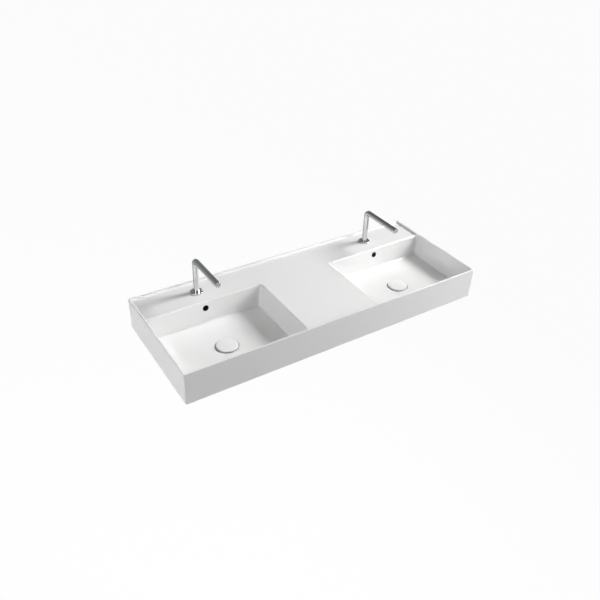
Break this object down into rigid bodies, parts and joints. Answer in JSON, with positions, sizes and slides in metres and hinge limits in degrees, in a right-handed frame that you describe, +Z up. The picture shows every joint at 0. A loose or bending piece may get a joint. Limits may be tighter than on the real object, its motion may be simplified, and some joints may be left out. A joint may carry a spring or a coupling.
{
  "type": "double washbasin",
  "caption": "Wall-hung rectangular ceramic washbasin with a bowl at each end, a flat shelf between, tube-spout taps on the back ledge and press-open ceramic-capped wastes.",
  "frame": {"origin": "on the wall face, midway along the basin, at the height of the wall fixings", "axes": "+X along the basin to the right of someone using it, +Y into the wall, +Z up"},
  "size_m": [1.2, 0.46, 0.295],
  "materials": {
    "ceramic": "gloss white glaze",
    "cap_ceramic": "gloss white glaze",
    "chrome": "polished chrome plate",
    "chromed_brass": "polished chrome plate on brass",
    "brass": "turned, unplated",
    "steel": "zinc bright",
    "spring_steel": "drawn wire",
    "black_rubber": "matte",
    "grey_rubber": "matte",
    "disc_ceramic": "lapped",
    "white_plastic": "moulded",
    "grey_plastic": "moulded"
  },
  "bodies": {
    "basin": {"basin_body": "ceramic", "deck_gaskets": "black_rubber", "clamp_rubber_washers": "grey_rubber", "clamp_steel_washers": "steel", "clamp_nuts": "brass", "waste_body_left": "chromed_brass", "flange_seal_left": "black_rubber", "cone_gasket_left": "black_rubber", "backnut_left": "chromed_brass", "click_barrel_left": "brass", "click_spring_left": "spring_steel", "fixed_disc_left": "disc_ceramic", "port_seals_left": "black_rubber", "tap_body_left": "brass", "sleeve_nut_left": "brass", "waste_body_right": "chromed_brass", "flange_seal_right": "black_rubber", "cone_gasket_right": "black_rubber", "backnut_right": "chromed_brass", "click_barrel_right": "brass", "click_spring_right": "spring_steel", "fixed_disc_right": "disc_ceramic", "port_seals_right": "black_rubber", "tap_body_right": "brass", "sleeve_nut_right": "brass"},
    "spout_left": {"spout_tube_left": "chrome", "spout_stem_left": "brass", "stem_o_rings_left": "black_rubber", "spout_snap_ring_left": "spring_steel", "aerator_housing_left": "chrome", "aerator_o_ring_left": "black_rubber", "aerator_insert_left": "grey_plastic"},
    "control_left": {"control_collar_left": "chrome", "grip_pin_left": "chrome", "drive_sleeve_left": "brass", "moving_disc_left": "disc_ceramic"},
    "plug_left": {"waste_cap_left": "cap_ceramic", "cap_carrier_left": "white_plastic", "plug_seal_left": "black_rubber", "click_plunger_left": "brass", "click_rotor_left": "white_plastic"},
    "spout_right": {"spout_tube_right": "chrome", "spout_stem_right": "brass", "stem_o_rings_right": "black_rubber", "spout_snap_ring_right": "spring_steel", "aerator_housing_right": "chrome", "aerator_o_ring_right": "black_rubber", "aerator_insert_right": "grey_plastic"},
    "control_right": {"control_collar_right": "chrome", "grip_pin_right": "chrome", "drive_sleeve_right": "brass", "moving_disc_right": "disc_ceramic"},
    "plug_right": {"waste_cap_right": "cap_ceramic", "cap_carrier_right": "white_plastic", "plug_seal_right": "black_rubber", "click_plunger_right": "brass", "click_rotor_right": "white_plastic"}
  },
  "joints": [
    {"name": "spout_swivel_left", "type": "hinge", "parent": "basin", "child": "spout_left", "pos_m": [-0.372, -0.067, 0.056], "axis": [0, 0, 1], "range_deg": [-60, 60]},
    {"name": "control_turn_left", "type": "hinge", "parent": "basin", "child": "control_left", "pos_m": [-0.372, -0.067, 0.056], "axis": [0, 0, -1], "range_deg": [0, 120]},
    {"name": "plug_press_left", "type": "slide", "parent": "basin", "child": "plug_left", "axis": [0, 0, -1], "range_m": [0, 0.006], "stiffness_N_per_m": 600, "springref_m": -0.004, "deforming": ["click_spring_left"]},
    {"name": "spout_swivel_right", "type": "hinge", "parent": "basin", "child": "spout_right", "pos_m": [0.372, -0.067, 0.056], "axis": [0, 0, 1], "range_deg": [-60, 60]},
    {"name": "control_turn_right", "type": "hinge", "parent": "basin", "child": "control_right", "pos_m": [0.372, -0.067, 0.056], "axis": [0, 0, -1], "range_deg": [0, 120]},
    {"name": "plug_press_right", "type": "slide", "parent": "basin", "child": "plug_right", "axis": [0, 0, -1], "range_m": [0, 0.006], "stiffness_N_per_m": 600, "springref_m": -0.004, "deforming": ["click_spring_right"]}
  ]
}
